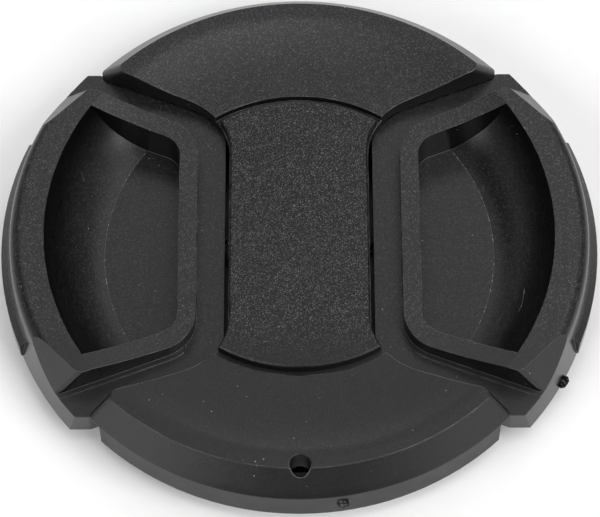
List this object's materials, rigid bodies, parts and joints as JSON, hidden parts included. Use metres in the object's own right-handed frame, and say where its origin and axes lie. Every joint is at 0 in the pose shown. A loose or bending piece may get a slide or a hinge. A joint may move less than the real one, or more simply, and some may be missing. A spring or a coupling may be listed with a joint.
{
  "type": "pinch lens cap",
  "caption": "Round clip-in camera lens cap with a dished front, sprung pinch levers with finger pockets, thread claws behind and a cord hole.",
  "frame": {"origin": "on the cap's axis at the level of its lowest edge, the foot of the skirt that enters the filter ring", "axes": "+Z out of the front face, +X from the axis to the right lever, -Y towards the cord hole"},
  "size_m": [0.0634, 0.06, 0.0094],
  "materials": {
    "front_shell": "fine satin moulding grain",
    "centre_plate": "coarse sparkling grain",
    "pinch_lever": "satin moulding",
    "spring_wire": "drawn wire",
    "back_cover": "satin moulding"
  },
  "bodies": {
    "cap_body": {"front_shell": "front_shell", "centre_plate": "centre_plate", "back_cover": "back_cover", "left_spring": "spring_wire", "right_spring": "spring_wire"},
    "left_lever_body": {"left_lever": "pinch_lever"},
    "right_lever_body": {"right_lever": "pinch_lever"}
  },
  "joints": [
    {"name": "left_slide", "type": "slide", "parent": "cap_body", "child": "left_lever_body", "axis": [1, 0, 0], "range_m": [0, 0.0025], "stiffness_N_per_m": 400, "springref_m": -0.004, "deforming": ["left_spring"]},
    {"name": "right_slide", "type": "slide", "parent": "cap_body", "child": "right_lever_body", "axis": [-1, 0, 0], "range_m": [0, 0.0025], "stiffness_N_per_m": 400, "springref_m": -0.004, "deforming": ["right_spring"]}
  ]
}
